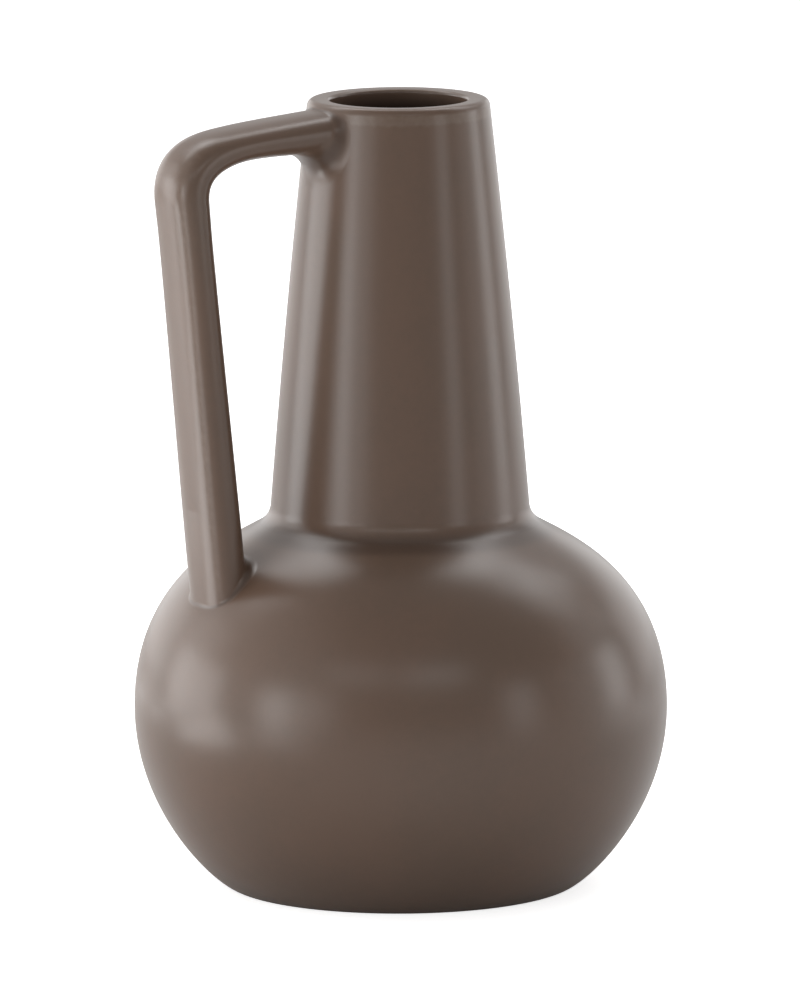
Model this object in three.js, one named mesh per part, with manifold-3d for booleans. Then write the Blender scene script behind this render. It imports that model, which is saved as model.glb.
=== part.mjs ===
// Jug vase: a round bulb, a tall tapering neck and a strap handle, in fired clay.
// Millimetres, +Z up. The origin is on the turning axis, in the plane that the foot stands on.
// The handle lies in the XZ plane, towards -X.
import * as THREE from 'three';
import { mergeVertices } from 'three/addons/utils/BufferGeometryUtils.js';
import Module from 'manifold-3d';

const wasm = await Module();
wasm.setup();

// Whole vase
const height = 250;

// Outside of the bulb, from the foot to the crease under the neck
const footRadius = 54.5;
const heelAngle = THREE.MathUtils.degToRad(11.8);
const heelLead = 4.7;
const bellyRadius = 84.2;
const bellyHeight = 56.7;
const bellyFullnessBelow = 33.7;
const bellyFullnessAbove = 42.6;
const shoulderAngle = THREE.MathUtils.degToRad(34.3);
const shoulderLead = 9;

// Outside of the neck, from the same crease to the lip
const creaseRadius = 41.1;
const creaseHeight = 117.5;
const neckTopRadius = 28.8;
const neckSwell = 0.4;
const lipOuterRound = 2.4;
const lipInnerRound = 1.2;
const lipWidth = 7.2;

// Hollow and walls
const bulbWall = 6;
const neckWall = 6;
const seatThickness = 4;
const floorThickness = 7;
const footRingWidth = 9;
const footRecess = 2.5;
const footRecessSlope = 2;

// Slip, the liquid clay that bonds the pieces and is smoothed into their creases
const slipLayer = 1.2;
const slipReach = 3.9;
const scoredDepth = 1.2;
const handleSlipLayer = 0.6;
const slipRoundOverArm = 2;
const slipRoundBesideArm = 8;
const slipRoundUnderArm = 10;
const slipRoundOutsideGrip = 2.6;
const slipRoundBesideGrip = 2;
const slipRoundInsideGrip = 3.4;
const clearance = 0.3;

// Handle, along its centre line
const armBelowLip = 8.3;
const armDroop = THREE.MathUtils.degToRad(5);
const armLead = 23.4;
const elbowReach = 77.5;
const elbowBelowLip = 27.4;
const elbowRise = 20.1;
const gripFootInset = 18.5;

// Handle section, an oblong with crowned sides and soft corners that swells at the elbow and
// at both ends. A squareness of 2 would make it an ellipse, and more makes it squarer.
const armWidth = 23.4;
const gripFootWidth = 24.6;
const neckEndThickness = 12.5;
const armThickness = 10.8;
const elbowThickness = 13.3;
const gripThickness = 12.5;
const gripFootThickness = 13.8;
const handleSquareness = 2.5;

// Where the handle is thickest before the elbow's end, and where the grip has settled below it
const elbowSwellBack = 8;
const gripSettles = 14;

// Fineness of the faceted surfaces
const turnSteps = 64;
const curveSteps = 10;
const neckSteps = 5;
const jointSteps = 5;
const roundSteps = 3;
const traceSteps = 60;
const elbowSteps = 16;
const gripSteps = 8;
const sectionSteps = 28;
const filletSteps = 4;
const searchSteps = 80;
const halvings = 30;
const weldDistance = 1e-4;

const glaze = { color: 0x6f625b, roughness: 0.55, metalness: 0 };
const glazedSlip = { color: 0x6a5d56, roughness: 0.6, metalness: 0 };

// Closed solid from a geometry. Only positions count, and corners that meet become one.
function toSolid(geometry) {
  const bare = new THREE.BufferGeometry();
  bare.setAttribute('position', geometry.getAttribute('position').clone());
  bare.setIndex(geometry.getIndex().clone());
  const welded = mergeVertices(bare, weldDistance);
  const corners = welded.getIndex().array;
  const triangles = [];
  for (let i = 0; i < corners.length; i += 3) {
    const [a, b, c] = corners.slice(i, i + 3);
    if (a !== b && b !== c && c !== a) {
      triangles.push(a, b, c);
    }
  }
  return new wasm.Manifold(new wasm.Mesh({
    numProp: 3,
    vertProperties: Float32Array.from(welded.getAttribute('position').array),
    triVerts: Uint32Array.from(triangles),
  }));
}

function toGeometry(solid) {
  const mesh = solid.getMesh();
  const geometry = new THREE.BufferGeometry();
  geometry.setAttribute('position', new THREE.BufferAttribute(mesh.vertProperties, 3));
  geometry.setIndex(new THREE.BufferAttribute(mesh.triVerts, 1));
  geometry.computeVertexNormals();
  return geometry;
}

// Solid turned about Z from a profile of (radius, height) points that ends where it starts,
// or that starts and ends on the axis.
function turned(profile) {
  return toSolid(new THREE.LatheGeometry(profile, turnSteps).rotateX(Math.PI / 2));
}

// Solid skinned over rings of points that turn anticlockwise as seen from before the first ring.
// An open skin gets a flat cap on its first and last ring, and a looped one joins its ends.
function skinned(rings, looped) {
  const size = rings[0].length;
  const index = [];
  const spans = looped ? rings.length : rings.length - 1;
  for (let i = 0; i < spans; i += 1) {
    const here = i * size;
    const next = ((i + 1) % rings.length) * size;
    for (let j = 0; j < size; j += 1) {
      const k = (j + 1) % size;
      index.push(here + j, next + k, here + k, here + j, next + j, next + k);
    }
  }
  const last = (rings.length - 1) * size;
  for (let j = 1; j < size - 1 && !looped; j += 1) {
    index.push(0, j, j + 1, last, last + j + 1, last + j);
  }
  const geometry = new THREE.BufferGeometry().setFromPoints(rings.flat());
  geometry.setIndex(index);
  return toSolid(geometry);
}

function along(from, angle, length) {
  return new THREE.Vector2(from.x + length * Math.cos(angle), from.y + length * Math.sin(angle));
}

// The outside of the vase as curves in the (radius, height) plane

const crease = new THREE.Vector2(creaseRadius, creaseHeight);
const neckMiddle = new THREE.Vector2(
  (creaseRadius + neckTopRadius) / 2 + 2 * neckSwell,
  (creaseHeight + height) / 2,
);
const neckAngle = Math.atan2(neckMiddle.y - crease.y, neckMiddle.x - crease.x);
const shoulderEnd = along(crease, -shoulderAngle, slipReach);
const neckStart = along(crease, neckAngle, slipReach);

function bulbCurves() {
  const foot = new THREE.Vector2(footRadius, 0);
  const belly = new THREE.Vector2(bellyRadius, bellyHeight);
  const below = new THREE.Vector2(bellyRadius, bellyHeight - bellyFullnessBelow);
  const above = new THREE.Vector2(bellyRadius, bellyHeight + bellyFullnessAbove);
  return [
    new THREE.CubicBezierCurve(foot, along(foot, heelAngle, heelLead), below, belly),
    new THREE.CubicBezierCurve(belly, above, along(shoulderEnd, -shoulderAngle, shoulderLead), shoulderEnd),
  ];
}

// The smoothed slip in the crease, tangent to the shoulder and to the neck
function jointCurve() {
  return new THREE.QuadraticBezierCurve(shoulderEnd, crease, neckStart);
}

function neckCurve() {
  const lipStart = new THREE.Vector2(neckTopRadius, height - lipOuterRound);
  return new THREE.QuadraticBezierCurve(neckStart, neckMiddle, lipStart);
}

// Quarter round under the top of the lip, from one direction to the next anticlockwise
function lipRound(centreRadius, round, fromAngle) {
  const centreHeight = height - round;
  return new THREE.Path()
    .absarc(centreRadius, centreHeight, round, fromAngle, fromAngle + Math.PI / 2, false)
    .getPoints(roundSteps);
}

function joinedPoints(curves, steps) {
  return curves.flatMap((curve, i) => curve.getPoints(steps).slice(i === 0 ? 0 : 1));
}

const bulbOutside = joinedPoints(bulbCurves(), curveSteps);
const jointOutside = jointCurve().getPoints(jointSteps);
const neckOutside = neckCurve().getPoints(neckSteps);
const lipOutside = lipRound(neckTopRadius - lipOuterRound, lipOuterRound, 0);
const lipInside = lipRound(neckTopRadius - lipWidth + lipInnerRound, lipInnerRound, Math.PI / 2);

// The same outside, finely traced, for working out where the handle meets it
const traced = [
  ...joinedPoints([...bulbCurves(), jointCurve(), neckCurve()], traceSteps),
  ...lipOutside.slice(1),
  new THREE.Vector2(0, height),
];

// Nearest point of the traced outside to a point, and the distance to it, negative inside
function offOutside(radius, z) {
  const point = new THREE.Vector3(radius, z, 0);
  const line = new THREE.Line3();
  let nearest = { distance: Infinity };
  for (let i = 0; i < traced.length - 1; i += 1) {
    line.start.set(traced[i].x, traced[i].y, 0);
    line.end.set(traced[i + 1].x, traced[i + 1].y, 0);
    const spot = line.closestPointToPoint(point, true, new THREE.Vector3());
    const distance = point.distanceTo(spot);
    if (distance < Math.abs(nearest.distance)) {
      const turn = line.delta(new THREE.Vector3()).cross(point.clone().sub(spot)).z;
      nearest = { distance: turn > 0 ? -distance : distance, spot };
    }
  }
  return nearest;
}

// Profile moved sideways by a distance, outwards where it is positive
function shifted(points, distance) {
  return points.map((point, i) => {
    const before = points[Math.max(i - 1, 0)];
    const after = points[Math.min(i + 1, points.length - 1)];
    const run = after.clone().sub(before).normalize();
    return new THREE.Vector2(point.x + distance * run.y, point.y - distance * run.x);
  });
}

// The outside moved outwards by a distance and filled to the axis
function filledVase(grown) {
  const above = [jointOutside, neckOutside, lipOutside].flatMap((points) => points.slice(1));
  const moved = shifted([...bulbOutside, ...above], grown);
  const top = moved[moved.length - 1].y;
  return turned([new THREE.Vector2(0, moved[0].y), ...moved, new THREE.Vector2(0, top)]);
}

// The handle's centre line in the (radius, height) plane: a short root in the neck's wall,
// the arm with its elbow, the straight grip, and a root that runs on into the bulb.

function neckRadiusAt(z) {
  const outside = [...jointOutside, ...neckOutside];
  const i = outside.findIndex((point) => point.y >= z);
  const [low, high] = [outside[i - 1], outside[i]];
  return THREE.MathUtils.mapLinear(z, low.y, high.y, low.x, high.x);
}

function shoulderHeightAt(radius) {
  const upper = bulbOutside.slice(curveSteps);
  const i = upper.findIndex((point) => point.x <= radius);
  const [outer, inner] = [upper[i - 1], upper[i]];
  return THREE.MathUtils.mapLinear(radius, outer.x, inner.x, outer.y, inner.y);
}

const armHeight = height - armBelowLip;
const armStart = new THREE.Vector2(neckRadiusAt(armHeight), armHeight);
const elbowEnd = new THREE.Vector2(elbowReach, height - elbowBelowLip);
const gripFootReach = bellyRadius - gripFootInset;
const gripFoot = new THREE.Vector2(gripFootReach, shoulderHeightAt(gripFootReach));
const gripAngle = Math.atan2(gripFoot.y - elbowEnd.y, gripFoot.x - elbowEnd.x);
const neckRoot = neckWall;
const bulbRoot = 2 * gripFootThickness;
const handleGap = handleSlipLayer + 2 * clearance;

const elbowCurve = new THREE.CubicBezierCurve(
  armStart,
  along(armStart, -armDroop, armLead),
  along(elbowEnd, gripAngle, -elbowRise),
  elbowEnd,
);
const handleLine = new THREE.CurvePath();
handleLine.add(new THREE.LineCurve(along(armStart, -armDroop, -neckRoot), armStart));
handleLine.add(elbowCurve);
handleLine.add(new THREE.LineCurve(elbowEnd, along(gripFoot, gripAngle, bulbRoot)));
const handleLength = handleLine.getLength();
const elbowLength = elbowCurve.getLength();
const gripLength = handleLength - neckRoot - elbowLength - bulbRoot;

// Width and thickness of the strap at distances along it from the neck's surface
const widths = [
  { at: elbowLength, size: armWidth },
  { at: elbowLength + gripLength, size: gripFootWidth },
];
const thicknesses = [
  { at: 0, size: neckEndThickness },
  { at: elbowLength / 2, size: armThickness },
  { at: elbowLength - elbowSwellBack, size: elbowThickness },
  { at: elbowLength + gripSettles, size: gripThickness },
  { at: elbowLength + gripLength, size: gripFootThickness },
];

// Size at a distance, which changes smoothly from each station to the next
function eased(stations, distance) {
  return stations.slice(1).reduce((size, next, i) => {
    const share = THREE.MathUtils.smoothstep(distance, stations[i].at, next.at);
    return THREE.MathUtils.lerp(size, next.size, share);
  }, stations[0].size);
}

// Places round the section, as directions across the strap and away from the vase
function sectionSamples() {
  const samples = [];
  for (let i = 0; i < sectionSteps; i += 1) {
    const turn = (2 * Math.PI * i) / sectionSteps;
    samples.push(new THREE.Vector2(Math.cos(turn), Math.sin(turn)));
  }
  return samples;
}

const samples = sectionSamples();

// Power of a number that may be negative, which keeps its sign
function raised(value, power) {
  return Math.sign(value) * Math.abs(value) ** power;
}

// Point on the handle's surface, or off it by a growth, at a distance along the centre line
function handlePoint(sample, distance, grown) {
  const share = THREE.MathUtils.clamp(distance / handleLength, 0, 1);
  const centre = handleLine.getPoint(share);
  const run = handleLine.getTangent(share);
  const half = new THREE.Vector2(eased(widths, distance - neckRoot), eased(thicknesses, distance - neckRoot))
    .divideScalar(2);
  const power = 2 / handleSquareness;
  const place = new THREE.Vector2(raised(sample.x, power), raised(sample.y, power)).multiply(half);
  const out = new THREE.Vector2(raised(sample.x, 2 - power), raised(sample.y, 2 - power)).divide(half);
  place.addScaledVector(out.normalize(), grown);
  return new THREE.Vector3(-(centre.x - run.y * place.y), place.x, centre.y + run.x * place.y);
}

// Stretch of the handle between two distances along its centre line
function handleStretch(from, to, grown) {
  const places = [];
  for (let i = 0; i <= elbowSteps; i += 1) {
    places.push(neckRoot + elbowLength * (i / elbowSteps));
  }
  for (let i = 1; i <= gripSteps; i += 1) {
    places.push(neckRoot + elbowLength + gripLength * (i / gripSteps));
  }
  const ringAt = (place) => samples.map((sample) => handlePoint(sample, place, grown));
  const between = places.filter((place) => place > from && place < to);
  return skinned([from, ...between, to].map(ringAt), false);
}

// Distance along the handle where a line on its surface, moved out by an offset,
// first comes that far off the vase, going from a buried place towards an open one
function meetingPlace(sample, buried, open, offset) {
  const free = (distance) => {
    const point = handlePoint(sample, distance, offset);
    return offOutside(Math.hypot(point.x, point.y), point.z).distance >= offset;
  };
  let inside = buried;
  let outside = open;
  for (let i = 1; i <= searchSteps; i += 1) {
    outside = THREE.MathUtils.lerp(buried, open, i / searchSteps);
    if (free(outside)) {
      break;
    }
    inside = outside;
  }
  for (let i = 0; i < halvings; i += 1) {
    const middle = (inside + outside) / 2;
    if (free(middle)) {
      outside = middle;
    } else {
      inside = middle;
    }
  }
  return outside;
}

// Round of the slip's face on each side of the handle, blended through the corners
function roundAt(sample, rounds) {
  const end = sample.y > 0 ? rounds.outer : rounds.inner;
  return THREE.MathUtils.lerp(rounds.beside, end, Math.abs(sample.y));
}

// Ring of slip in the crease round one end of the handle. A ball rolls round the crease:
// the ring's face is what the ball leaves, and its back lies behind the crease.
function slipRing(buried, open, rounds) {
  const rings = samples.map((sample) => {
    const round = roundAt(sample, rounds);
    const place = meetingPlace(sample, buried, open, round);
    const centre = handlePoint(sample, place, round);
    const onHandle = handlePoint(sample, place, 0).sub(centre);
    const radius = Math.hypot(centre.x, centre.y);
    const { spot } = offOutside(radius, centre.z);
    const scale = spot.x / radius;
    const onVase = new THREE.Vector3(centre.x * scale, centre.y * scale, spot.y).sub(centre);
    const angle = onHandle.angleTo(onVase);
    const face = [];
    for (let i = 0; i <= filletSteps; i += 1) {
      const share = i / filletSteps;
      const direction = onHandle.clone().multiplyScalar(Math.sin((1 - share) * angle))
        .addScaledVector(onVase, Math.sin(share * angle));
      face.push(direction.setLength(round).add(centre));
    }
    const corner = handlePoint(sample, meetingPlace(sample, buried, open, 0), 0);
    const back = corner.clone().sub(centre);
    face.push(back.setLength(back.length() + handleGap).add(centre));
    return face;
  });
  return skinned(buried < open ? rings : rings.reverse(), true);
}

// Slip under and round one end of the handle: the ring in the crease and the layer behind it
function handleSlip(buried, open, rounds) {
  const stub = handleStretch(Math.min(buried, open), Math.max(buried, open), 0);
  const taken = handleStretch(0, handleLength, clearance).subtract(filledVase(handleGap - clearance));
  return slipRing(buried, open, rounds).add(stub).subtract(filledVase(clearance)).subtract(taken);
}

// Bulb: solid floor in a turned foot ring, round wall, and a flat seat for the neck
function bulbSolid() {
  const openingRadius = creaseRadius - neckWall;
  const floorHeight = footRecess + floorThickness;
  const ringInner = footRadius - footRingWidth;
  const seatUnderside = shoulderEnd.y - seatThickness;
  const hollow = shifted(bulbOutside, -bulbWall)
    .filter((point) => point.x > openingRadius && point.y > floorHeight && point.y < seatUnderside)
    .reverse();
  const lowest = hollow[hollow.length - 1];
  return turned([
    new THREE.Vector2(0, footRecess),
    new THREE.Vector2(ringInner - footRecessSlope, footRecess),
    new THREE.Vector2(ringInner, 0),
    ...bulbOutside,
    new THREE.Vector2(openingRadius, shoulderEnd.y),
    new THREE.Vector2(openingRadius, seatUnderside),
    ...hollow,
    new THREE.Vector2(lowest.x - bulbWall, floorHeight),
    new THREE.Vector2(0, floorHeight),
  ]);
}

// Neck: stands on its layer of slip, scored round its foot, and ends in the lip
function neckSolid() {
  const foot = shoulderEnd.y + slipLayer;
  return turned([
    new THREE.Vector2(creaseRadius - neckWall, foot),
    new THREE.Vector2(creaseRadius - scoredDepth, foot),
    new THREE.Vector2(neckStart.x - scoredDepth, neckStart.y),
    ...neckOutside,
    ...lipOutside.slice(1),
    ...lipInside,
    new THREE.Vector2(creaseRadius - neckWall, foot),
  ]);
}

// Slip between the bulb's seat and the neck's foot, smoothed into the crease outside
function neckSlipSolid() {
  const layerTop = shoulderEnd.y + slipLayer;
  const band = scoredDepth - clearance;
  return turned([
    new THREE.Vector2(creaseRadius - neckWall, shoulderEnd.y),
    ...jointOutside,
    new THREE.Vector2(neckStart.x - band, neckStart.y),
    new THREE.Vector2(creaseRadius - band, layerTop),
    new THREE.Vector2(creaseRadius - neckWall, layerTop),
    new THREE.Vector2(creaseRadius - neckWall, shoulderEnd.y),
  ]);
}

// Handle: bent strap, cut at both ends to the shape of the vase
function handleSolid() {
  return handleStretch(0, handleLength, 0).subtract(filledVase(handleGap));
}

function topSlipSolid() {
  const rounds = { outer: slipRoundOverArm, beside: slipRoundBesideArm, inner: slipRoundUnderArm };
  return handleSlip(0, neckRoot + elbowLength / 2, rounds);
}

function footSlipSolid() {
  const rounds = { outer: slipRoundOutsideGrip, beside: slipRoundBesideGrip, inner: slipRoundInsideGrip };
  return handleSlip(handleLength, handleLength - bulbRoot - gripLength / 2, rounds);
}

const vase = new THREE.Group();

function addPiece(name, solid, finish) {
  const mesh = new THREE.Mesh(toGeometry(solid), new THREE.MeshStandardMaterial(finish));
  mesh.name = name;
  vase.add(mesh);
}

addPiece('bulb', bulbSolid(), glaze);
addPiece('neck_slip_joint', neckSlipSolid(), glazedSlip);
addPiece('neck', neckSolid(), glaze);
addPiece('handle', handleSolid(), glaze);
addPiece('handle_top_slip', topSlipSolid(), glazedSlip);
addPiece('handle_foot_slip', footSlipSolid(), glazedSlip);

export default vase;
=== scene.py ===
import math
import bmesh
import bpy
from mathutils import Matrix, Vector


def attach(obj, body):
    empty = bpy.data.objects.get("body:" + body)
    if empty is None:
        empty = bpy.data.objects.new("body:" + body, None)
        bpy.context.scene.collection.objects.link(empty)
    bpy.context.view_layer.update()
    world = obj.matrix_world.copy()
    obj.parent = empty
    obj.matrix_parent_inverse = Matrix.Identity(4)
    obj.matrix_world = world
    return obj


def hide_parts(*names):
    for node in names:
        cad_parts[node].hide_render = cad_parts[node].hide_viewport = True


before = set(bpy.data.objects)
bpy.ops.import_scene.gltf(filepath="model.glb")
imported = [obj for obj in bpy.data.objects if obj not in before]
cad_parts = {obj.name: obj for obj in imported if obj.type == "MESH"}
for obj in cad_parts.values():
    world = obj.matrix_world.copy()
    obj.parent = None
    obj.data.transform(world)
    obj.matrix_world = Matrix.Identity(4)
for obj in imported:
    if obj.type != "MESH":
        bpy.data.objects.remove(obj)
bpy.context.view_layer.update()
print("frame loaded:", ", ".join(sorted(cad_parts)))

mm = 0.001  # the vase is measured in millimetres, as a potter would, and the studio in metres


# The outside of the vase as points of (radius, height)

outline = {
    "height": 250,
    "footRadius": 54.5,
    "heelAngle": 11.8,
    "heelLead": 4.7,
    "bellyRadius": 84.2,
    "bellyHeight": 56.7,
    "bellyFullnessBelow": 33.7,
    "bellyFullnessAbove": 42.6,
    "shoulderAngle": 34.3,
    "shoulderLead": 9,
    "creaseRadius": 41.1,
    "creaseHeight": 117.5,
    "creaseReach": 3.9,
    "neckTopRadius": 28.8,
    "neckSwell": 0.4,
    "lipOuterRound": 2.4,
    "lipInnerRound": 1.2,
    "lipWidth": 7.2,
    "lipCrown": 0.12,
    "curveSteps": 56,
    "lipOuterSteps": 12,
    "lipInnerSteps": 10,
    "turnSteps": 256,
}


def along(start, degrees, length):
    angle = math.radians(degrees)
    return start + Vector((math.cos(angle), math.sin(angle))) * length


def heading(start, end):
    return math.degrees(math.atan2(end.y - start.y, end.x - start.x))


def bezier(corners, steps):
    points = []
    for i in range(steps + 1):
        level = list(corners)
        while len(level) > 1:
            level = [a.lerp(b, i / steps) for a, b in zip(level, level[1:])]
        points.append(level[0])
    return points


def arc(centre, radius, fromDegrees, toDegrees, steps):
    turns = [fromDegrees + (toDegrees - fromDegrees) * i / steps for i in range(steps + 1)]
    return [along(centre, turn, radius) for turn in turns]


def shifted(points, distance):
    # every point moves square to the line through its neighbours, outwards where positive
    moved = []
    for i, point in enumerate(points):
        run = (points[min(i + 1, len(points) - 1)] - points[max(i - 1, 0)]).normalized()
        moved.append(point + Vector((run.y, -run.x)) * distance)
    return moved


def smoothShare(value, low, high):
    # rises from 0 at low to 1 at high, and is level at both
    share = max(0, min(1, (value - low) / (high - low)))
    return share * share * (3 - 2 * share)


def bell(value, middle, reach):
    # 1 in the middle, and 0 from the reach outwards
    return max(0.0, 1 - ((value - middle) / reach) ** 2) ** 2


crease = Vector((outline["creaseRadius"], outline["creaseHeight"]))
neckMiddle = Vector((
    (outline["creaseRadius"] + outline["neckTopRadius"]) / 2 + 2 * outline["neckSwell"],
    (outline["creaseHeight"] + outline["height"]) / 2,
))
shoulderEnd = along(crease, -outline["shoulderAngle"], outline["creaseReach"])
neckStart = along(crease, heading(crease, neckMiddle), outline["creaseReach"])
lipStart = Vector((outline["neckTopRadius"], outline["height"] - outline["lipOuterRound"]))
footEdge = Vector((outline["footRadius"], 0))
belly = Vector((outline["bellyRadius"], outline["bellyHeight"]))
steps = outline["curveSteps"]

bulbOutside = bezier([
    footEdge,
    along(footEdge, outline["heelAngle"], outline["heelLead"]),
    belly - Vector((0, outline["bellyFullnessBelow"])),
    belly,
], steps) + bezier([
    belly,
    belly + Vector((0, outline["bellyFullnessAbove"])),
    along(shoulderEnd, -outline["shoulderAngle"], outline["shoulderLead"]),
    shoulderEnd,
], steps)[1:]
jointOutside = bezier([shoulderEnd, crease, neckStart], steps)
neckOutside = bezier([neckStart, neckMiddle, lipStart], steps)

lipRound = outline["lipOuterRound"]
lipCentre = Vector((outline["neckTopRadius"] - lipRound, outline["height"] - lipRound))
lipOutside = arc(lipCentre, lipRound, 0, 90, outline["lipOuterSteps"])
boreRound = outline["lipInnerRound"]
boreCentre = Vector((
    outline["neckTopRadius"] - outline["lipWidth"] + boreRound,
    outline["height"] - outline["lipCrown"] - boreRound,
))
lipInside = arc(boreCentre, boreRound, 90, 180, outline["lipInnerSteps"])

traced = bulbOutside + jointOutside[1:] + neckOutside[1:] + lipOutside[1:]
traced.append(Vector((0, outline["height"])))


def offOutside(point):
    # distance to the outside, negative within it, and the nearest spot on it
    best, spot = None, None
    for a, b in zip(traced, traced[1:]):
        run = b - a
        share = max(0, min(1, (point - a).dot(run) / run.length_squared))
        near = a + run * share
        away = point - near
        if best is None or away.length < abs(best):
            within = run.x * away.y - run.y * away.x > 0
            best, spot = (-away.length if within else away.length), near
    return best, spot


# Nodes: one socket class for the maths, one method for every other node


class Socket:
    def __init__(self, nodes, socket):
        self.nodes = nodes
        self.socket = socket

    def maths(self, operation, *others):
        return self.nodes.add("ShaderNodeMath", {"operation": operation}, self, *others)

    def reflected(self, operation, first):
        return self.nodes.add("ShaderNodeMath", {"operation": operation}, first, self)

    def __add__(self, other):
        return self.maths("ADD", other)

    def __radd__(self, other):
        return self.reflected("ADD", other)

    def __sub__(self, other):
        return self.maths("SUBTRACT", other)

    def __rsub__(self, other):
        return self.reflected("SUBTRACT", other)

    def __mul__(self, other):
        return self.maths("MULTIPLY", other)

    def __rmul__(self, other):
        return self.reflected("MULTIPLY", other)

    def __truediv__(self, other):
        return self.maths("DIVIDE", other)

    def __rtruediv__(self, other):
        return self.reflected("DIVIDE", other)


class Nodes:
    def __init__(self, tree):
        self.tree = tree
        tree.nodes.clear()

    def add(self, kind, settings=None, *values, output=0, **named):
        # values fill the sockets in their order, and None leaves one as it is
        node = self.tree.nodes.new(kind)
        for name, value in (settings or {}).items():
            setattr(node, name, value)
        for key, value in [*enumerate(values), *named.items()]:
            if value is None:
                continue
            place = node.inputs[key if isinstance(key, int) else key.replace("_", " ")]
            if isinstance(value, Socket):
                self.tree.links.new(value.socket, place)
            else:
                place.default_value = value
        return Socket(self, node.outputs[output]) if len(node.outputs) else node

    def clamped(self, value, low, high):
        # rises smoothly from 0 at low to 1 at high
        return self.add("ShaderNodeMapRange", {"interpolation_type": "SMOOTHSTEP"},
                        value, low, high)

    def blend(self, share, first, second):
        # a colour mix, whose colour sockets are the seventh and eighth
        return self.add("ShaderNodeMix", {"data_type": "RGBA"},
                        share, *[None] * 5, first, second, output=2)


def addObject(name, data):
    thing = bpy.data.objects.new(name, data)
    bpy.context.scene.collection.objects.link(thing)
    return thing


# The glaze

glaze = {
    "taupe": (0.114, 0.0735, 0.0522, 1),
    "warmTaupe": (0.125, 0.0775, 0.0542, 1),
    # pale tone: a painted highlight under the lip, on the mouth's inner edge and along the handle's
    # corners, where the glaze also thins; it also flecks the bare clay
    "paleEdgeAndHighlight": (0.165, 0.120, 0.092, 1),
    # painted shade for the crease under the neck and round the handle's joints; the specks share
    # this dark tone
    "shadeAndSpeckTone": (0.056, 0.034, 0.024, 1),
    # painted shade deep inside the mouth
    "inside": (0.030, 0.019, 0.0135, 1),
    "bareClay": (0.300, 0.215, 0.150, 1),
    "cloudShare": 0.65,  # the rest of the colour's drift is mottle
    "driftRange": (0.38, 0.62),
    "speckRange": (0.69, 0.76),
    "speckStrength": 0.06,
    "thinAndLitMottle": 0.7,
    "thinAndLitRange": (0.35, 1.1),
    "shadeClouds": 0.4,
    "shadeRange": (0.1, 1.0),
    "shadeStrength": 0.60,
    "mouthShadeStrength": 0.95,
    "bareMottle": 0.5,
    "bareRange": (0.4, 0.6),
    "roughness": 0.283,
    "leastRoughness": 0.276,
    "roughnessClouds": 0.05,
    "roughnessMottle": 0.04,
    "bareRoughness": 0.45,  # more than the glaze's own
    "insideRoughness": 0.06,
    "waveDepth": 0.05,
    "peelDepth": 0.006,
    "gritDepth": 0.06,
    "pinholeDepth": 0.015,
    "pinholeSpacing": 9,
    "pinholeRadii": (0.012, 0.030),  # of its bottom and its edge, as shares of the spacing
    "ior": 1.5,
    "specular": 0.5,
}
patterns = {
    # name: size in millimetres, detail, roughness, and a shift that keeps them apart
    "clouds": (38, 3, 0.5, 0.0),
    "mottle": (2.6, 4, 0.6, 0.31),
    "specks": (1.5, 1, 0.4, 0.57),
    "clay": (0.7, 5, 0.7, 0.83),
    "grit": (0.45, 3, 0.7, 0.19),
    "waves": (30, 1, 0.3, 0.11),
    "peel": (1.3, 2, 0.5, 0.77),
}
noiseMiddle = 0.5
finishMasks = ("thinGlazeAndHighlight", "paintedCreaseShade", "mouthShade", "bareClay")


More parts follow.
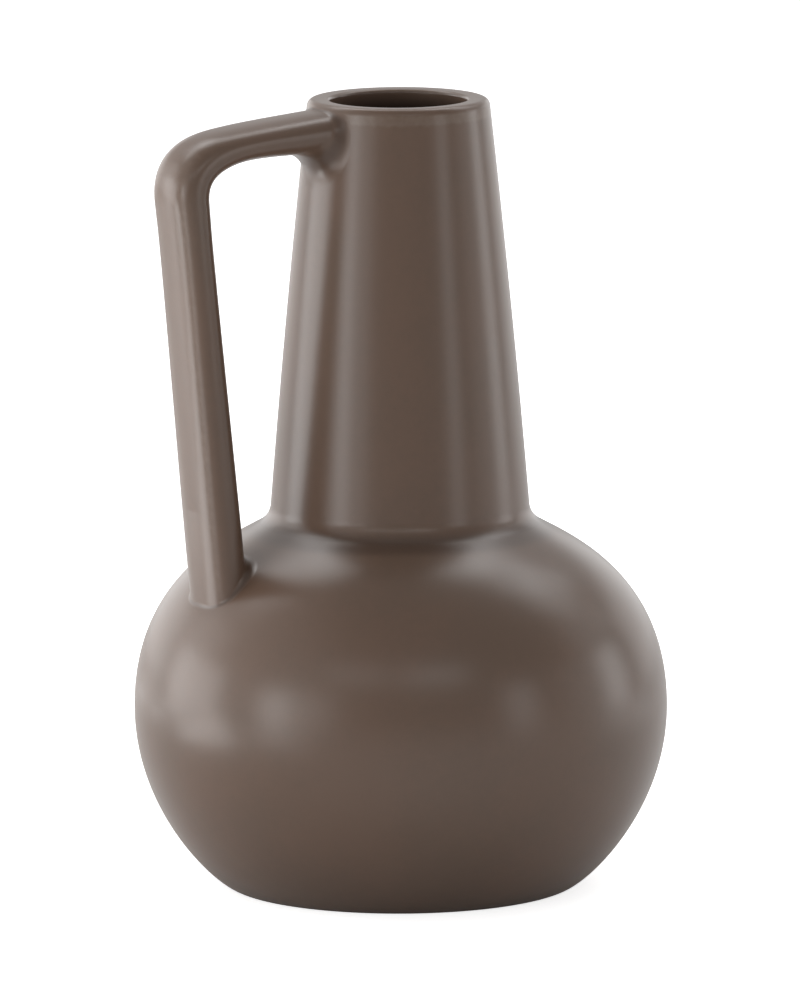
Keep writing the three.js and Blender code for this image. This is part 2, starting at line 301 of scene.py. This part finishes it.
def stonewareGlaze(name, extraShade):
    material = bpy.data.materials.new(name)
    material.use_nodes = True
    n = Nodes(material.node_tree)
    place = n.add("ShaderNodeTexCoord", output="Object")

    def pattern(kind):
        size, detail, roughness, shift = patterns[kind]
        spot = n.add("ShaderNodeVectorMath", {"operation": "ADD"}, place, (shift, shift, 0.0))
        return n.add("ShaderNodeTexNoise", {"noise_dimensions": "3D"}, spot,
                     Scale=1 / (size * mm), Detail=detail, Roughness=roughness)

    clouds, mottle = pattern("clouds"), pattern("mottle")
    cloudSway, mottleSway = clouds - noiseMiddle, mottle - noiseMiddle
    thinLitEdge, creaseShade, bore, bare = (
        n.add("ShaderNodeAttribute", {"attribute_name": mask}, output="Fac")
        for mask in finishMasks)

    drift = clouds * glaze["cloudShare"] + mottle * (1 - glaze["cloudShare"])
    color = n.blend(n.clamped(drift, *glaze["driftRange"]), glaze["taupe"], glaze["warmTaupe"])
    specks = n.clamped(pattern("specks"), *glaze["speckRange"])
    color = n.blend(specks * glaze["speckStrength"], color, glaze["shadeAndSpeckTone"])
    # painted highlight, where the glaze is also thin
    thinAndLit = n.clamped(thinLitEdge + mottleSway * glaze["thinAndLitMottle"], *glaze["thinAndLitRange"])
    color = n.blend(thinAndLit, color, glaze["paleEdgeAndHighlight"])
    # painted shade in the creases, a little uneven with the clouds
    shaded = n.clamped(creaseShade + cloudSway * glaze["shadeClouds"], *glaze["shadeRange"])
    color = n.blend(shaded * (glaze["shadeStrength"] + extraShade), color, glaze["shadeAndSpeckTone"])
    # painted shade deep inside the mouth; bore carries that mask
    color = n.blend(bore * glaze["mouthShadeStrength"], color, glaze["inside"])
    ragged = n.clamped(bare + mottleSway * glaze["bareMottle"], *glaze["bareRange"])
    clay = n.blend(pattern("clay"), glaze["bareClay"], glaze["paleEdgeAndHighlight"])
    color = n.blend(ragged, color, clay)

    rough = glaze["roughness"] + cloudSway * glaze["roughnessClouds"]
    rough = rough + mottleSway * glaze["roughnessMottle"]
    rough = rough.maths("MAXIMUM", glaze["leastRoughness"])
    rough = rough + ragged * glaze["bareRoughness"] + bore * glaze["insideRoughness"]

    pits = n.add("ShaderNodeTexVoronoi", {"feature": "F1"}, place,
                 Scale=1 / (glaze["pinholeSpacing"] * mm), Randomness=1.0)
    pit = 1 - n.clamped(pits, *glaze["pinholeRadii"])
    relief = pattern("waves") * (glaze["waveDepth"] * mm)
    relief = relief + pattern("peel") * (glaze["peelDepth"] * mm)
    relief = relief - pit * (glaze["pinholeDepth"] * mm)
    relief = relief + pattern("grit") * ragged * (glaze["gritDepth"] * mm)
    bump = n.add("ShaderNodeBump", None, Strength=1.0, Distance=1.0, Height=relief)

    shader = n.add("ShaderNodeBsdfPrincipled", None, Base_Color=color, Roughness=rough,
                   Normal=bump, IOR=glaze["ior"], Specular_IOR_Level=glaze["specular"])
    n.add("ShaderNodeOutputMaterial", None, shader)
    return material


satinGlaze = stonewareGlaze("satinGlaze", 0.0)
# the slip joints get a little more painted shade in their creases
glazedSlip = stonewareGlaze("glazedSlip", 0.1)
print("materials made")


# Turned pieces: a Geometry Nodes wheel that turns a profile about the axis

wheelWeld = 1e-6  # metres
meshWeld = 1e-7


def potterWheel():
    tree = bpy.data.node_groups.new("potterWheel", "GeometryNodeTree")
    n = Nodes(tree)
    sockets = {}
    tree.interface.new_socket("Geometry", in_out="OUTPUT", socket_type="NodeSocketGeometry")
    for name, kind in (("Profile", "NodeSocketGeometry"), ("Turn Steps", "NodeSocketInt"),
                       ("Weld Distance", "NodeSocketFloat"), ("Glaze", "NodeSocketMaterial")):
        sockets[name] = tree.interface.new_socket(name, in_out="INPUT", socket_type=kind).identifier
    given = tree.nodes.new("NodeGroupInput").outputs
    profile, turnSteps, weld, material = (Socket(n, given[i]) for i in range(4))

    rows = n.add("GeometryNodeAttributeDomainSize", {"component": "MESH"}, profile)
    columns = turnSteps + 1
    sheet = n.add("GeometryNodeMeshGrid", None, 1.0, 1.0, rows, columns)
    index = n.add("GeometryNodeInputIndex")
    row = (index / columns).maths("FLOOR")
    column = index - row * columns
    turn = column * math.tau / turnSteps
    spot = n.add("GeometryNodeSampleIndex", {"data_type": "FLOAT_VECTOR", "domain": "POINT"},
                 profile, n.add("GeometryNodeInputPosition"), row)
    parts = n.add("ShaderNodeSeparateXYZ", None, spot).socket.node.outputs
    radius, height = Socket(n, parts["X"]), Socket(n, parts["Z"])
    place = n.add("ShaderNodeCombineXYZ", None,
                  radius * turn.maths("COSINE"), radius * turn.maths("SINE"), height)
    turned = n.add("GeometryNodeSetPosition", None, sheet, None, place)
    for name in finishMasks:
        held = n.add("GeometryNodeInputNamedAttribute", {"data_type": "FLOAT"}, name)
        value = n.add("GeometryNodeSampleIndex", {"data_type": "FLOAT", "domain": "POINT"},
                      profile, held, row)
        turned = n.add("GeometryNodeStoreNamedAttribute", {"data_type": "FLOAT", "domain": "POINT"},
                       turned, None, name, value)
    closed = n.add("GeometryNodeMergeByDistance", None, turned, None, weld)
    smooth = n.add("GeometryNodeSetShadeSmooth", None, closed)
    solid = n.add("GeometryNodeRealizeInstances", None, smooth)
    finished = n.add("GeometryNodeSetMaterial", None, solid, None, material)
    n.add("NodeGroupOutput", None, finished)
    return tree, sockets


wheel, wheelInputs = potterWheel()

glazeRun = {
    # where the painted crease shade, the painted highlights with thin glaze, the painted shade in
    # the mouth and the bare foot lie, in millimetres
    "shadeBelowCrease": 5,
    "shadeReach": 8,
    "lipHighlightBelowTop": 3.6,
    "lipHighlightReach": 3,
    "boreEdgeReach": 0.7,
    "boreEdgeStrength": 0.5,
    "bareHeight": 1.1,
    "bareBeyondFoot": 0.4,
    "mouthDarkensFrom": 0.8,
    "mouthDarkestFrom": 5.0,
}
shadeMiddle = along(crease, -outline["shoulderAngle"], glazeRun["shadeBelowCrease"])


def masksAt(point, inside):
    # how much painted highlight with thin glaze, painted crease shade and painted mouth shade a
    # point of the profile gets, and whether the glaze is bare there
    run, top = glazeRun, outline["height"]
    thinAndLit = shadedMouth = bare = 0.0
    if point.x > lipCentre.x:
        # painted highlight band just under the lip
        thinAndLit = bell(point.y, top - run["lipHighlightBelowTop"], run["lipHighlightReach"])
    # thin glaze and a painted highlight on the mouth's inner edge
    if point.y > boreCentre.y:
        rim = bell((point - boreCentre).length, boreRound, run["boreEdgeReach"])
        thinAndLit = max(thinAndLit, run["boreEdgeStrength"] * rim)
    if inside:
        # painted shade, darker the deeper into the mouth
        shadedMouth = smoothShare(top - point.y, run["mouthDarkensFrom"], run["mouthDarkestFrom"])
    if point.y < run["bareHeight"] and point.x < outline["footRadius"] + run["bareBeyondFoot"]:
        bare = 1.0
    # painted shade in the crease under the neck
    shadeAndSpeckTone = bell((point - shadeMiddle).length, 0, run["shadeReach"])
    return {"thinGlazeAndHighlight": thinAndLit, "paintedCreaseShade": shadeAndSpeckTone, "mouthShade": shadedMouth, "bareClay": bare}


def finishMesh(mesh, sharpDegrees=20):
    # outward faces, smooth shading and sharp corners
    shape = bmesh.new()
    shape.from_mesh(mesh)
    bmesh.ops.remove_doubles(shape, verts=shape.verts, dist=meshWeld)
    bmesh.ops.recalc_face_normals(shape, faces=shape.faces)
    shape.to_mesh(mesh)
    shape.free()
    mesh.shade_smooth()
    mesh.set_sharp_from_angle(angle=math.radians(sharpDegrees))


def addPiece(name, mesh, material, node):
    piece = addObject(name, mesh)
    if not mesh.materials:
        mesh.materials.append(material)
    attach(piece, "root")
    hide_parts(node)


def turnedPiece(name, profile, insideFrom, material, node):
    # profile: points of (radius, height); from insideFrom on they are inside the vase
    line = bpy.data.meshes.new(name + "Profile")
    spots = [(p.x * mm, 0, p.y * mm) for p in profile]
    line.from_pydata(spots, [(i, i + 1) for i in range(len(spots) - 1)], [])
    masks = [masksAt(p, i >= insideFrom) for i, p in enumerate(profile)]
    for maskName in finishMasks:
        held = line.attributes.new(maskName, "FLOAT", "POINT")
        held.data.foreach_set("value", [m[maskName] for m in masks])
    blank = addObject(name + "Blank", line)
    turning = blank.modifiers.new("turning", "NODES")
    turning.node_group = wheel
    turning[wheelInputs["Turn Steps"]] = outline["turnSteps"]
    turning[wheelInputs["Weld Distance"]] = wheelWeld
    turning[wheelInputs["Glaze"]] = material
    evaluated = blank.evaluated_get(bpy.context.evaluated_depsgraph_get())
    mesh = bpy.data.meshes.new_from_object(evaluated)
    mesh.name = name
    blank.modifiers.remove(turning)
    bpy.data.objects.remove(blank)
    bpy.data.meshes.remove(line)
    finishMesh(mesh)
    addPiece(name, mesh, material, node)


bulbSizes = {
    "wall": 6,
    "seatThickness": 4,
    "floorThickness": 7,
    "floorRoundLead": 3,
    "floorRoundReach": 18,
    "footRingWidth": 9,
    "footRecess": 2.5,
    "footRecessSlope": 2,
    "footInnerRound": 0.8,
    "recessMiddle": 0.5,  # share of its radius, where a ring of corners halves its long faces
    "recessEdge": 0.6,  # a ring of corners so far in keeps its shading flat
    "bore": 35.1,
    "cornerSteps": 6,
}


def makeBulb():
    size = bulbSizes
    floorHeight = size["footRecess"] + size["floorThickness"]
    ringInner = outline["footRadius"] - size["footRingWidth"]
    seatUnderside = shoulderEnd.y - size["seatThickness"]
    hollow = [p for p in shifted(bulbOutside, -size["wall"])
              if p.x > size["bore"] and floorHeight < p.y < seatUnderside][::-1]
    recessCorner = Vector((ringInner - size["footRecessSlope"], size["footRecess"]))
    footCorner = Vector((ringInner, 0))
    inward = (recessCorner - footCorner).normalized()
    ringRound = bezier([
        footCorner + inward * size["footInnerRound"],
        footCorner,
        footCorner + Vector((size["footInnerRound"], 0)),
    ], size["cornerSteps"])
    lowest = hollow[-1]
    floorCurve = bezier([
        lowest,
        Vector((lowest.x - size["floorRoundLead"], floorHeight)),
        Vector((lowest.x - size["floorRoundReach"], floorHeight)),
    ], size["cornerSteps"])
    outside = [
        Vector((0, size["footRecess"])),
        Vector((recessCorner.x * size["recessMiddle"], size["footRecess"])),
        recessCorner - Vector((size["recessEdge"], 0)),
        *ringRound,
        *bulbOutside,
    ]
    inside = [
        Vector((size["bore"], shoulderEnd.y)),
        Vector((size["bore"], seatUnderside)),
        *hollow,
        *floorCurve[1:],
        Vector((0, floorHeight)),
    ]
    turnedPiece("bulb", outside + inside, len(outside), satinGlaze, "bulb")


neckSizes = {
    "wall": 6,
    "slipLayer": 1.2,
    "scoredDepth": 1.2,
    "clearance": 0.3,
    "crownSteps": 12,
    "boreSteps": 30,
}


def makeNeck():
    size = neckSizes
    foot = shoulderEnd.y + size["slipLayer"]
    boreFoot = Vector((outline["creaseRadius"] - size["wall"], foot))
    boreTop, boreSteps = lipInside[-1], size["boreSteps"]
    bore = [boreTop.lerp(boreFoot, i / boreSteps) for i in range(1, boreSteps + 1)]
    crown = []
    for i in range(1, size["crownSteps"]):
        # the lip's land is level by its outer edge and leans gently down to the bore
        share = i / size["crownSteps"]
        across = lipOutside[-1].lerp(lipInside[0], share).x
        crown.append(Vector((across, outline["height"] - outline["lipCrown"] * share * share)))
    outside = [
        boreFoot,
        Vector((outline["creaseRadius"] - size["scoredDepth"], foot)),
        Vector((neckStart.x - size["scoredDepth"], neckStart.y)),
        *neckOutside,
        *lipOutside[1:],
        *crown,
        *lipInside,
    ]
    turnedPiece("neck", outside + bore, len(outside), satinGlaze, "neck")


def makeNeckJoint():
    size = neckSizes
    top = shoulderEnd.y + size["slipLayer"]
    band = size["scoredDepth"] - size["clearance"]
    innerEdge = outline["creaseRadius"] - size["wall"]
    outside = [
        Vector((innerEdge, shoulderEnd.y)),
        *jointOutside,
        Vector((neckStart.x - band, neckStart.y)),
        Vector((outline["creaseRadius"] - band, top)),
    ]
    inside = [Vector((innerEdge, top)), Vector((innerEdge, shoulderEnd.y))]
    turnedPiece("neck_joint", outside + inside, len(outside), glazedSlip,
                "neck_slip_joint")


makeBulb()
makeNeck()
makeNeckJoint()
print("bulb, neck and their joint turned")


# The handle: a strap with crowned sides and soft corners that follows its centre line

handleSizes = {
    "armBelowLip": 8.3,
    "armDroop": 5,
    "armLead": 23.4,
    "elbowReach": 77.5,
    "elbowBelowLip": 27.4,
    "elbowRise": 20.1,
    "gripFootInset": 18.5,
    "rootInNeck": 6,
    "armWidth": 23.4,
    "gripFootWidth": 24.6,
    "neckEndThickness": 12.5,
    "armThickness": 10.8,
    "elbowThickness": 13.3,
    "gripThickness": 12.5,
    "gripFootThickness": 13.8,
    "squareness": 2.5,
    "elbowSwellBack": 8,
    "gripSettles": 14,
    "buried": 2,
    "cornerThinAndLit": 0.5,  # how much the section's corners are lightened: thin glaze and a painted highlight along the ridges
    "cornerFocus": 3,
    "roundSteps": 60,
    "elbowSteps": 400,
    "lengthSteps": 170,
    "facingStep": 0.02,
    "searchSteps": 40,
    "halvings": 22,
}


def heightOnLine(points, radius):
    for a, b in zip(points, points[1:]):
        if min(a.x, b.x) <= radius <= max(a.x, b.x) and a.x != b.x:
            return a.lerp(b, (radius - a.x) / (b.x - a.x)).y
    return points[-1].y


def radiusOnLine(points, height):
    for a, b in zip(points, points[1:]):
        if a.y <= height <= b.y:
            return a.lerp(b, (height - a.y) / (b.y - a.y)).x
    return points[-1].x


def strapLine():
    # centre line of the strap as points of (radius, height), and where its parts begin
    size = handleSizes
    armHeight = outline["height"] - size["armBelowLip"]
    armStart = Vector((radiusOnLine(neckOutside, armHeight), armHeight))
    elbowEnd = Vector((size["elbowReach"], outline["height"] - size["elbowBelowLip"]))
    reach = outline["bellyRadius"] - size["gripFootInset"]
    gripFoot = Vector((reach, heightOnLine(bulbOutside[steps:], reach)))
    slope = heading(elbowEnd, gripFoot)
    elbow = bezier([
        armStart,
        along(armStart, -size["armDroop"], size["armLead"]),
        along(elbowEnd, slope, -size["elbowRise"]),
        elbowEnd,
    ], size["elbowSteps"])
    root = along(armStart, -size["armDroop"], -size["rootInNeck"])
    bulbRoot = 2 * size["gripFootThickness"]
    line = [root, *elbow, along(gripFoot, slope, bulbRoot)]
    lengths = [0.0]
    for a, b in zip(line, line[1:]):
        lengths.append(lengths[-1] + (b - a).length)
    elbowLength = sum((b - a).length for a, b in zip(elbow, elbow[1:]))
    return line, lengths, elbowLength, lengths[-1] - bulbRoot - size["rootInNeck"]


strap, strapLengths, elbowLength, shownLength = strapLine()
strapLength = strapLengths[-1]
armMiddle = handleSizes["rootInNeck"] + elbowLength / 2
gripMiddle = handleSizes["rootInNeck"] + (elbowLength + shownLength) / 2
widths = [(elbowLength, handleSizes["armWidth"]), (shownLength, handleSizes["gripFootWidth"])]
thicknesses = [
    (0, handleSizes["neckEndThickness"]),
    (elbowLength / 2, handleSizes["armThickness"]),
    (elbowLength - handleSizes["elbowSwellBack"], handleSizes["elbowThickness"]),
    (elbowLength + handleSizes["gripSettles"], handleSizes["gripThickness"]),
    (shownLength, handleSizes["gripFootThickness"]),
]


def eased(stations, distance):
    size = stations[0][1]
    for (low, _), (high, value) in zip(stations, stations[1:]):
        size += (value - size) * smoothShare(distance, low, high)
    return size


def strapSpot(distance):
    distance = max(0, min(strapLength, distance))
    low, high = 0, len(strapLengths) - 1
    while high - low > 1:
        middle = (low + high) // 2
        low, high = (middle, high) if strapLengths[middle] <= distance else (low, middle)
    span = strapLengths[high] - strapLengths[low]
    return strap[low].lerp(strap[high], (distance - strapLengths[low]) / span)


def strapFacing(distance):
    step = handleSizes["facingStep"]
    return (strapSpot(distance + step) - strapSpot(distance - step)).normalized()


def strapSamples():
    # places round the section, as directions across the strap and away from the vase
    turns = [math.tau * i / handleSizes["roundSteps"] for i in range(handleSizes["roundSteps"])]
    return [Vector((math.cos(turn), math.sin(turn))) for turn in turns]


samples = strapSamples()


def raised(value, power):
    return math.copysign(abs(value) ** power, value)


def strapPoint(sample, distance, grown):
    # the section is an ellipse with its power raised above two, so that it is nearly an oblong
    size = handleSizes
    power = 2 / size["squareness"]
    centre, run = strapSpot(distance), strapFacing(distance)
    fromNeck = distance - size["rootInNeck"]
    halves = (eased(widths, fromNeck) / 2, eased(thicknesses, fromNeck) / 2)
    place = Vector([raised(part, power) * half for part, half in zip(sample, halves)])
    out = Vector([raised(part, 2 - power) / half for part, half in zip(sample, halves)])
    place += out.normalized() * grown
    return Vector((-(centre.x - run.y * place.y), place.x, centre.y + run.x * place.y))


def meeting(sample, buriedEnd, openEnd, offset, depth):
    # where a line on the strap, moved out by offset, first comes that far off the vase
    def free(distance):
        point = strapPoint(sample, distance, offset)
        return offOutside(Vector((math.hypot(point.x, point.y), point.z)))[0] >= depth

    inside, outside = buriedEnd, openEnd
    for i in range(1, handleSizes["searchSteps"] + 1):
        outside = buriedEnd + (openEnd - buriedEnd) * i / handleSizes["searchSteps"]
        if free(outside):
            break
        inside = outside
    for _ in range(handleSizes["halvings"]):
        middle = (inside + outside) / 2
        inside, outside = (inside, middle) if free(middle) else (middle, outside)
    return outside


def meshFromRings(name, rings, looped, masks):
    size = len(rings[0])
    points = [p * mm for ring in rings for p in ring]
    faces = []
    for i in range(len(rings) if looped else len(rings) - 1):
        here, following = i * size, (i + 1) % len(rings) * size
        for j in range(size):
            k = (j + 1) % size
            faces.append((here + j, here + k, following + k, following + j))
    if not looped:
        for start in (0, (len(rings) - 1) * size):
            points.append(sum(points[start:start + size], Vector()) / size)
            faces += [(start + j, start + (j + 1) % size, len(points) - 1) for j in range(size)]
    mesh = bpy.data.meshes.new(name)
    mesh.from_pydata(points, [], faces)
    for maskName, values in masks.items():
        values = values + [0.0] * (len(points) - len(values))
        mesh.attributes.new(maskName, "FLOAT", "POINT").data.foreach_set("value", values)
    return mesh


def makeHandle():
    size = handleSizes
    starts = [meeting(s, 0, armMiddle, 0, -size["buried"]) for s in samples]
    ends = [meeting(s, strapLength, gripMiddle, 0, -size["buried"]) for s in samples]
    rings, thinAndLit = [], []
    for i in range(size["lengthSteps"] + 1):
        share = i / size["lengthSteps"]
        rings.append([strapPoint(s, a + (b - a) * share, 0)
                      for s, a, b in zip(samples, starts, ends)])
        # lighter corners: thin glaze and a painted highlight along the ridges
        thinAndLit += [size["cornerThinAndLit"] * abs(2 * s.x * s.y) ** size["cornerFocus"] for s in samples]
    mesh = meshFromRings("handle", rings, False, {"thinGlazeAndHighlight": thinAndLit})
    finishMesh(mesh)
    addPiece("handle", mesh, satinGlaze, "handle")


slipSizes = {
    "overArm": 2,
    "besideArm": 8,
    "underArm": 10,
    "outsideGrip": 2.6,
    "besideGrip": 2,
    "insideGrip": 3.4,
    "faceSteps": 14,
    "skirt": 0.3,
    "skirtSink": 0.012,
    "backDepth": 1.2,
    "creaseShading": 0.8,
    "sharpDegrees": 50,
}


def slipRing(name, buriedEnd, openEnd, outerRound, besideRound, innerRound, node):
    # a ball rolls round the crease between strap and vase, and the slip takes its shape
    size = slipSizes
    rings, shadeAndSpeckTone = [], []
    for sample in samples:
        endRound = outerRound if sample.y > 0 else innerRound
        ball = besideRound + (endRound - besideRound) * abs(sample.y)
        place = meeting(sample, buriedEnd, openEnd, ball, ball)
        centre = strapPoint(sample, place, ball)
        toStrap = (strapPoint(sample, place, 0) - centre).normalized()
        radius = math.hypot(centre.x, centre.y)
        _, spot = offOutside(Vector((radius, centre.z)))
        onVase = Vector((centre.x * spot.x / radius, centre.y * spot.x / radius, spot.y))
        toVase = (onVase - centre).normalized()
        angle = toStrap.angle(toVase)
        square = (toVase - toStrap * toVase.dot(toStrap)).normalized()
        squareAtVase = (toStrap - toVase * toStrap.dot(toVase)).normalized()
        # a skirt sunk under each surface hides the thin edges of the ring
        ring = [centre + toStrap * (ball + size["skirtSink"]) - square * size["skirt"]]
        mask = [0.0]
        for i in range(size["faceSteps"] + 1):
            share = i / size["faceSteps"]
            turn = angle * share
            ring.append(centre + (toStrap * math.cos(turn) + square * math.sin(turn)) * ball)
            mask.append(bell(share, 0.5, 0.5) * size["creaseShading"])  # painted shade in the crease, darkest halfway round
        ring.append(centre + toVase * (ball + size["skirtSink"]) - squareAtVase * size["skirt"])
        back = strapPoint(sample, meeting(sample, buriedEnd, openEnd, 0, 0), 0) - centre
        ring.append(centre + back.normalized() * (back.length + size["backDepth"]))
        rings.append(ring)
        shadeAndSpeckTone += mask + [0.0, 0.0]
    mesh = meshFromRings(name, rings, True, {"paintedCreaseShade": shadeAndSpeckTone})
    finishMesh(mesh, size["sharpDegrees"])
    addPiece(name, mesh, glazedSlip, node)


def makeSlips():
    size = slipSizes
    slipRing("handle_top_joint", 0, armMiddle,
             size["overArm"], size["besideArm"], size["underArm"], "handle_top_slip")
    slipRing("handle_foot_joint", strapLength, gripMiddle,
             size["outsideGrip"], size["besideGrip"], size["insideGrip"], "handle_foot_slip")


makeHandle()
makeSlips()
print("handle and its slip joints made")


# Studio: camera, floor, soft lights and a white backdrop, in metres and degrees

shot = {
    "azimuth": -29.52,
    "elevation": 9.33,
    "distance": 4.0,
    "aimHeight": 0.12215,
    "focalPixels": 12683.9,
    "imageHeight": 1000,
    "roll": -0.004,  # radians
    "sensor": 36,
    "clipEnd": 100,
}


def direction(azimuth, elevation):
    # azimuth 0 looks along +Y, so the way back to the viewer is -Y
    a, e = math.radians(azimuth), math.radians(elevation)
    return Vector((math.sin(a) * math.cos(e), -math.cos(a) * math.cos(e), math.sin(e)))


def makeCamera():
    lens = bpy.data.cameras.new("camera")
    lens.sensor_width = shot["sensor"]
    lens.lens = shot["focalPixels"] / shot["imageHeight"] * shot["sensor"]
    lens.clip_end = shot["clipEnd"]
    camera = addObject("camera", lens)
    back = direction(shot["azimuth"], shot["elevation"])
    camera.location = Vector((0, 0, shot["aimHeight"])) + back * shot["distance"]
    camera.rotation_euler = back.to_track_quat("Z", "Y").to_euler()
    camera.rotation_euler.rotate_axis("Z", shot["roll"])
    bpy.context.scene.camera = camera


lamps = {
    # name: azimuth from the camera, elevation, width and height in degrees, strength
    "leftStrip": (-110, 4, 16, 22, 3.6),
    "leftMiddle": (-93, 4, 16, 22, 3.5),
    "frontLeft": (-55, 3, 14, 20, 4.1),
    "frontLeftSide": (-38, 4, 16, 20, 1.1),
    "frontRight": (53, 4, 13, 26, 1.8),
    "rightGlow": (84, 6, 22, 26, 0.55),
    "rightStrip": (106, 5, 16, 24, 2.9),
    "leftBack": (-148, 6, 42, 28, 0.95),
    "rightBack": (148, 6, 42, 28, 0.85),
    "leftHigh": (-108, 24, 26, 16, 1.15),
    "frontArcLeft": (-20, 28, 26, 12, 0.95),
    "frontArcRight": (16, 28, 26, 12, 1.3),
    "rightSideHigh": (108, 28, 30, 16, 0.7),
    "leftUpper": (-122, 45, 36, 14, 0.55),
    "rightUpper": (122, 44, 30, 16, 1.65),
    "leftTop": (-136, 54, 36, 16, 2.3),
    "rightTop": (138, 55, 32, 16, 1.95),
    "backTop": (180, 66, 40, 20, 2.4),
}
cards = {
    # bright sheets that lie on the floor: azimuth, distance, width and depth in metres, strength
    "leftCard": (-84, 0.72, 0.20, 0.80, 4.7),
    "leftFarCard": (-100, 1.5, 0.60, 0.80, 2.4),
    "leftBackCard": (-128, 0.75, 0.38, 0.70, 0.6),
    "leftSideCard": (-109, 0.77, 0.28, 0.68, 2.0),
    "frontLeftCard": (-52, 0.74, 0.24, 0.66, 2.0),
    "rightCard": (108, 0.75, 0.36, 0.70, 0.6),
}
studio = {
    "lampDistance": 1.6,
    "lampAimHeight": 0.12,
    "cardHeight": 0.001,
    "world": 0.34,
    "backWorld": 0.37,
    "leftWorld": 0.68,
    "sideFade": (0.2, 0.9),
    "floorHalf": 6.0,
    "floorColor": (0.80, 0.80, 0.80, 1),
    "floorLift": 0.75,
}


def areaLamp(name, wide, deep, strength):
    light = bpy.data.lights.new(name, "AREA")
    light.shape = "RECTANGLE"
    light.size, light.size_y = wide, deep
    light.energy = strength * math.pi * wide * deep  # radiance 1 is pi watts a square metre
    lamp = addObject(name, light)
    lamp.visible_camera = False
    return lamp


def makeLamp(name, azimuth, elevation, wide, high, strength):
    sides = [2 * studio["lampDistance"] * math.tan(math.radians(a / 2)) for a in (wide, high)]
    lamp = areaLamp(name, *sides, strength)
    away = direction(shot["azimuth"] + azimuth, elevation)
    lamp.location = Vector((0, 0, studio["lampAimHeight"])) + away * studio["lampDistance"]
    lamp.rotation_euler = away.to_track_quat("Z", "Y").to_euler()


def makeCard(name, azimuth, distance, wide, deep, strength):
    card = areaLamp(name, wide, deep, strength)
    away = direction(shot["azimuth"] + azimuth, 0)
    card.location = away * distance + Vector((0, 0, studio["cardHeight"]))
    card.rotation_euler = (math.pi, 0, math.atan2(away.y, away.x) - math.pi / 2)


def makeFloor():
    mesh = bpy.data.meshes.new("floor")
    half = studio["floorHalf"]
    mesh.from_pydata([(-half, -half, 0), (half, -half, 0), (half, half, 0), (-half, half, 0)],
                     [], [(0, 1, 2, 3)])
    floor = addObject("floor", mesh)
    material = bpy.data.materials.new("paleFloor")
    material.use_nodes = True
    n = Nodes(material.node_tree)
    seen = n.add("ShaderNodeLightPath", output="Is Camera Ray")
    paper = n.add("ShaderNodeBsdfDiffuse", None, studio["floorColor"])
    lift = n.add("ShaderNodeEmission", None, (1, 1, 1, 1), seen * studio["floorLift"])
    n.add("ShaderNodeOutputMaterial", None, n.add("ShaderNodeAddShader", None, paper, lift))
    mesh.materials.append(material)


def makeWorld():
    world = bpy.data.worlds.new("studio")
    bpy.context.scene.world = world
    world.use_nodes = True
    n = Nodes(world.node_tree)
    way = n.add("ShaderNodeTexCoord", output="Generated")
    glow = studio["world"]
    for side, strength in ((180, studio["backWorld"]), (-90, studio["leftWorld"])):
        toSide = tuple(direction(shot["azimuth"] + side, 0))
        facing = n.add("ShaderNodeVectorMath", {"operation": "DOT_PRODUCT"},
                       way, toSide, output="Value")
        glow = glow + n.clamped(facing, *studio["sideFade"]) * strength
    seen = n.add("ShaderNodeLightPath", output="Is Camera Ray")
    strength = seen + (1 - seen) * glow
    n.add("ShaderNodeOutputWorld", None,
          n.add("ShaderNodeBackground", None, (1, 1, 1, 1), strength))


makeCamera()
makeFloor()
makeWorld()
for lampName, facts in lamps.items():
    makeLamp(lampName, *facts)
for cardName, facts in cards.items():
    makeCard(cardName, *facts)
bpy.context.scene.view_settings.view_transform = "Standard"
print("camera, floor and lamps placed")
